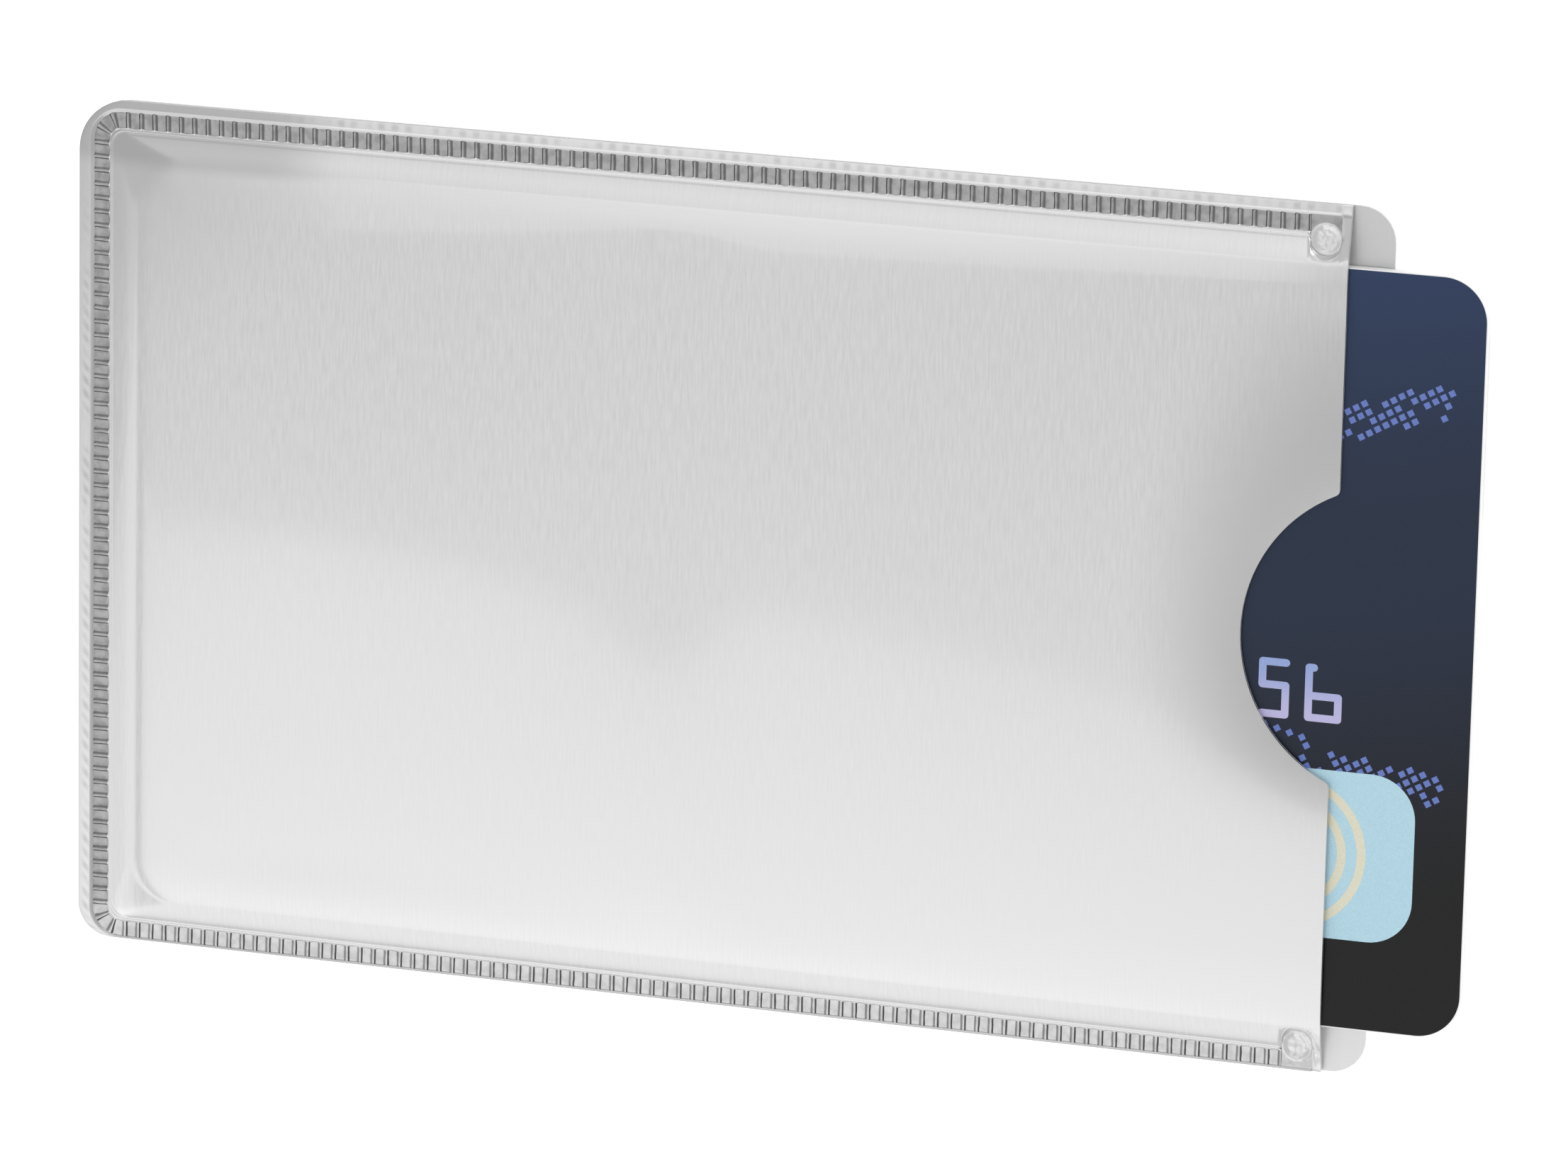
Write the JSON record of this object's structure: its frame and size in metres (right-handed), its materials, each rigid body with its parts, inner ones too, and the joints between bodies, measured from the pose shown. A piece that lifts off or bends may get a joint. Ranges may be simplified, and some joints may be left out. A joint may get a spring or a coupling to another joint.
{
  "type": "shielding card sleeve",
  "caption": "Flat laminated foil sleeve for one bank-size card, welded on three sides with a knurled seam, with a thumb notch at its open mouth and a sliding card inside.",
  "frame": {"origin": "middle of the back sheet's underside, its lip included, on the surface the sleeve lies on", "axes": "+X along the sleeve towards its open mouth, +Y across the sleeve, +Z out of its front face"},
  "size_m": [0.1022, 0.0616, 0.0016],
  "materials": {
    "clear_film": "clear glossy film over brushed foil",
    "foil": "rolled aluminium foil with fine streaks",
    "lining_film": "satin translucent film",
    "melted_film": "fused glassy film with pressed pads",
    "card_gloss": "clear gloss over dark print",
    "card_print": "printed sheet, navy to charcoal",
    "card_core": "white, cut edges",
    "antenna_metal": "copper track",
    "chip_contacts": "gold plated, grooved",
    "chip_resin": "black resin",
    "stripe": "dark brown magnetic stripe",
    "writing_panel": "matt off-white, writable"
  },
  "bodies": {
    "sleeve": {"back_cover_film": "clear_film", "back_foil": "foil", "back_lining_film": "lining_film", "front_lining_film": "lining_film", "front_foil": "foil", "front_cover_film": "clear_film", "weld_seam": "melted_film", "seam_end_upper": "melted_film", "seam_end_lower": "melted_film"},
    "card": {"card_back_overlay": "card_gloss", "card_back_print": "card_print", "card_core": "card_core", "card_antenna": "antenna_metal", "card_front_print": "card_print", "card_front_overlay": "card_gloss", "chip_contact_plate": "chip_contacts", "chip_encapsulation": "chip_resin", "magnetic_stripe": "stripe", "signature_panel": "writing_panel"}
  },
  "joints": [
    {"name": "card_slide", "type": "slide", "parent": "sleeve", "child": "card", "axis": [1, 0, 0], "range_m": [-0.012, 0.08]}
  ]
}
